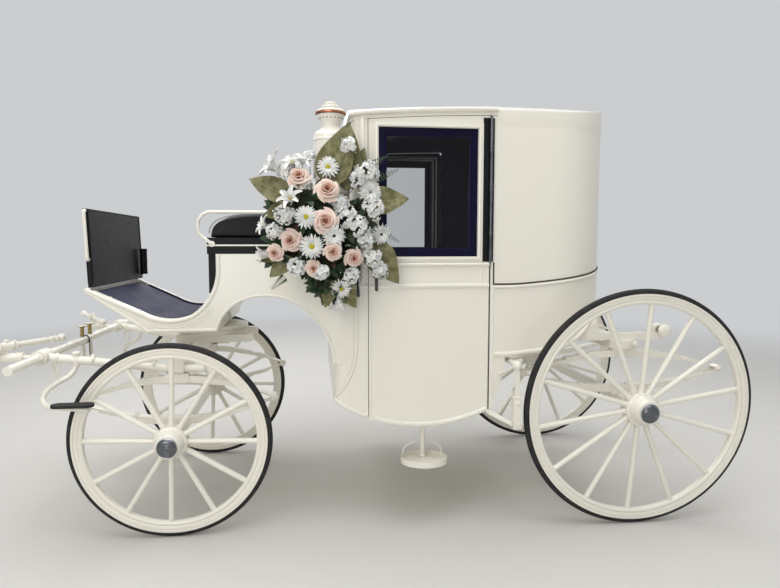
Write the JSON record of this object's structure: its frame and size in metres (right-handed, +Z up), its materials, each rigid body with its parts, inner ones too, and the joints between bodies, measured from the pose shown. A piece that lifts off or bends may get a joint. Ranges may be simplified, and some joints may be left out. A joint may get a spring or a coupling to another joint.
{
  "type": "horse drawn carriage",
  "caption": "Closed four wheeled carriage with a hinged door each side, a driver's box seat over a steered fore carriage, leaf springs, round lamps and tied flowers.",
  "frame": {"origin": "on the ground, on the centre line, under the middle of the overall length from the foremost knob of the single trees to the back of the rear tyres", "axes": "+X forward, the way the horses pull; +Y to the carriage's left; +Z up"},
  "size_m": [3.6499, 1.72, 2.0819],
  "materials": {
    "black_leather": "semi gloss",
    "brass": "polished",
    "buttoned_fabric": "matt",
    "cap_steel": "polished",
    "clear_glass": "clear",
    "dark_steel": "polished dark",
    "flowers": "matt",
    "ivory_paint": "gloss",
    "navy_paint": "gloss",
    "rubber_mat": "ribbed",
    "tyre_rubber": "matt"
  },
  "bodies": {
    "carriage": {"lower_body": "ivory_paint", "front_wall": "ivory_paint", "back_panel": "ivory_paint", "cab_glass": "clear_glass", "roof": "ivory_paint", "hinge_covers": "black_leather", "pillar_handles": "black_leather", "boot": "ivory_paint", "footboard": "ivory_paint", "footboard_mat": "rubber_mat", "dashboard": "black_leather", "grab_rails": "ivory_paint", "whip_socket": "black_leather", "seat_base": "navy_paint", "driver_cushion": "black_leather", "seat_fall": "black_leather", "turntable_upper": "ivory_paint", "axle_rear": "ivory_paint", "springs_rear": "ivory_paint", "rear_bolster": "ivory_paint", "pump_handles": "ivory_paint", "brake_gear": "ivory_paint", "door_steps": "ivory_paint", "lamps": "ivory_paint", "bouquets": "flowers", "cab_bench": "buttoned_fabric", "cab_cushion": "buttoned_fabric", "cab_back": "buttoned_fabric"},
    "fore_gear": {"axle_front": "ivory_paint", "springs_front": "ivory_paint", "fore_carriage": "ivory_paint", "turntable_lower": "ivory_paint", "splinter_bar": "ivory_paint", "roller_bolts": "brass", "driver_step_rods": "ivory_paint", "driver_step_pads": "rubber_mat"},
    "wheel_front_left": {"wheel_front_left": "ivory_paint", "tyre_front_left": "tyre_rubber", "hub_cap_front_left": "cap_steel"},
    "wheel_front_right": {"wheel_front_right": "ivory_paint", "tyre_front_right": "tyre_rubber", "hub_cap_front_right": "cap_steel"},
    "wheel_rear_left": {"wheel_rear_left": "ivory_paint", "tyre_rear_left": "tyre_rubber", "hub_cap_rear_left": "cap_steel"},
    "wheel_rear_right": {"wheel_rear_right": "ivory_paint", "tyre_rear_right": "tyre_rubber", "hub_cap_rear_right": "cap_steel"},
    "door_left": {"door_left": "ivory_paint", "door_sash_left": "navy_paint", "door_glass_left": "clear_glass", "door_handle_left": "dark_steel"},
    "door_right": {"door_right": "ivory_paint", "door_sash_right": "navy_paint", "door_glass_right": "clear_glass", "door_handle_right": "dark_steel"},
    "single_tree_left": {"single_tree_left": "ivory_paint"},
    "single_tree_right": {"single_tree_right": "ivory_paint"}
  },
  "joints": [
    {"name": "fore_gear_steer", "type": "hinge", "parent": "carriage", "child": "fore_gear", "pos_m": [0.85, 0, 0.896], "axis": [0, 0, 1], "range_deg": [-35, 35]},
    {"name": "wheel_front_left_spin", "type": "hinge", "parent": "fore_gear", "child": "wheel_front_left", "pos_m": [0.95, 0.594, 0.45767], "axis": [0, 0.9993, -0.0384], "continuous": true},
    {"name": "wheel_front_right_spin", "type": "hinge", "parent": "fore_gear", "child": "wheel_front_right", "pos_m": [0.95, -0.594, 0.45767], "axis": [0, 0.9993, 0.0384], "continuous": true},
    {"name": "wheel_rear_left_spin", "type": "hinge", "parent": "carriage", "child": "wheel_rear_left", "pos_m": [-1.25, 0.713, 0.57459], "axis": [0, 0.9993, -0.0384], "continuous": true},
    {"name": "wheel_rear_right_spin", "type": "hinge", "parent": "carriage", "child": "wheel_rear_right", "pos_m": [-1.25, -0.713, 0.57459], "axis": [0, 0.9993, 0.0384], "continuous": true},
    {"name": "door_left_hinge", "type": "hinge", "parent": "carriage", "child": "door_left", "pos_m": [-0.534, 0.612, 1.2], "axis": [0, 0, 1], "range_deg": [0, 85]},
    {"name": "door_right_hinge", "type": "hinge", "parent": "carriage", "child": "door_right", "pos_m": [-0.534, -0.612, 1.2], "axis": [0, 0, -1], "range_deg": [0, 85]},
    {"name": "single_tree_left_swing", "type": "hinge", "parent": "fore_gear", "child": "single_tree_left", "pos_m": [1.665, 0.54, 0.901], "axis": [0, 0, 1], "range_deg": [-10, 70]},
    {"name": "single_tree_right_swing", "type": "hinge", "parent": "fore_gear", "child": "single_tree_right", "pos_m": [1.665, -0.54, 0.901], "axis": [0, 0, -1], "range_deg": [-10, 70]}
  ]
}
